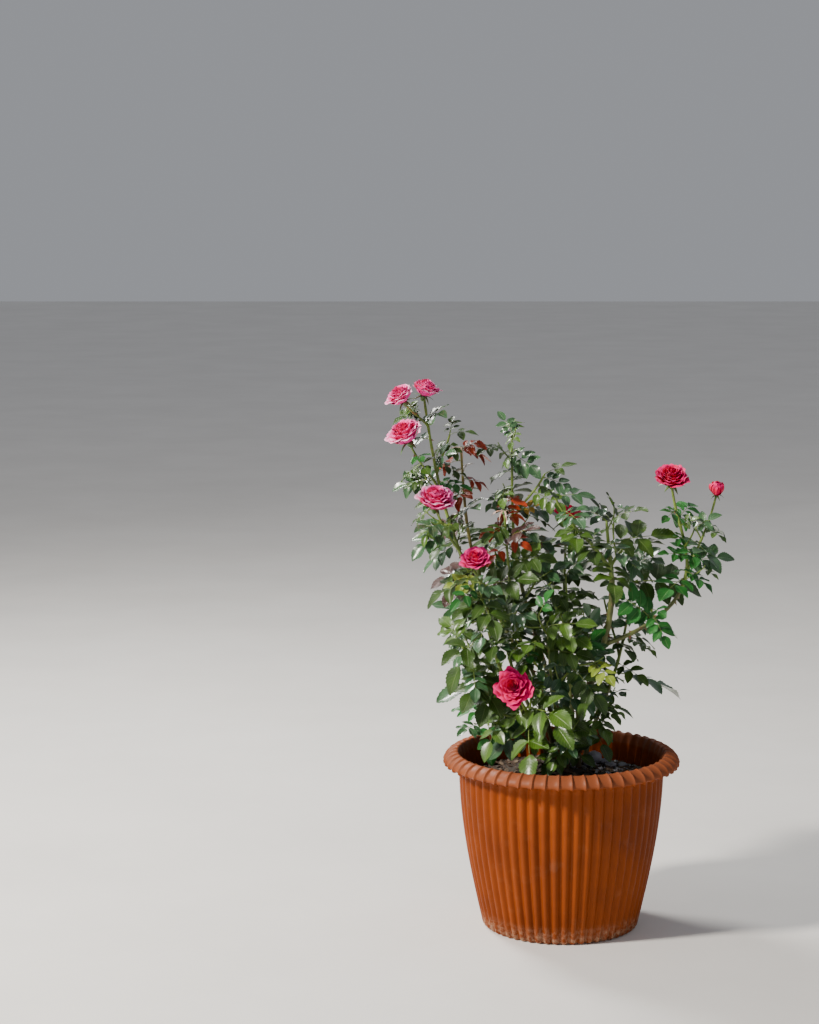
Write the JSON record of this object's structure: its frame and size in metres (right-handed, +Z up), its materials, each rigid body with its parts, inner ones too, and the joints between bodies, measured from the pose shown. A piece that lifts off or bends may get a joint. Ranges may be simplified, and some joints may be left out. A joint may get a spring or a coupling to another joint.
{
  "type": "potted rose bush",
  "caption": "Rose bush with crimson and pink blooms, glossy green leaves and bronze young shoots, growing in a pleated terracotta-coloured pot.",
  "frame": {"origin": "centre of the pot's flat underside", "axes": "+Z up out of the pot, -Y towards the side seen from the front, +X to that side's right"},
  "size_m": [0.5213, 0.4054, 0.8101],
  "materials": {
    "pot": "satin, lightly scuffed",
    "soil": "crumbly, matt",
    "pebble": "smooth stone, matt",
    "cane": "green bark, satin",
    "foliage": "glossy leaves"
  },
  "bodies": {
    "root": {"pot": "pot", "soil": "soil", "pebble_1": "pebble", "pebble_2": "pebble", "pebble_3": "pebble", "pebble_4": "pebble", "pebble_5": "pebble", "cane_main": "cane", "cane_left": "cane", "cane_bronze_left": "cane", "cane_bronze_mid": "cane", "cane_high": "cane", "cane_pink": "cane", "cane_front": "cane", "cane_mid": "cane", "cane_right_mid": "cane", "cane_back_left": "cane", "cane_back_mid": "cane", "cane_back_right": "cane", "bough_right": "cane", "left_high": "foliage", "left_side": "foliage", "bronze_left": "foliage", "bronze_mid": "foliage", "upper_mid": "foliage", "pink_side": "foliage", "front_bloom": "foliage", "mid_shoot": "foliage", "right_mid": "foliage", "arch_head": "foliage", "right_spray": "foliage", "right_low": "foliage", "skirt_right": "foliage", "skirt_left": "foliage", "skirt_front": "foliage", "back_left": "foliage", "back_mid": "foliage", "back_right": "foliage", "skirt_back": "foliage"}
  },
  "joints": []
}
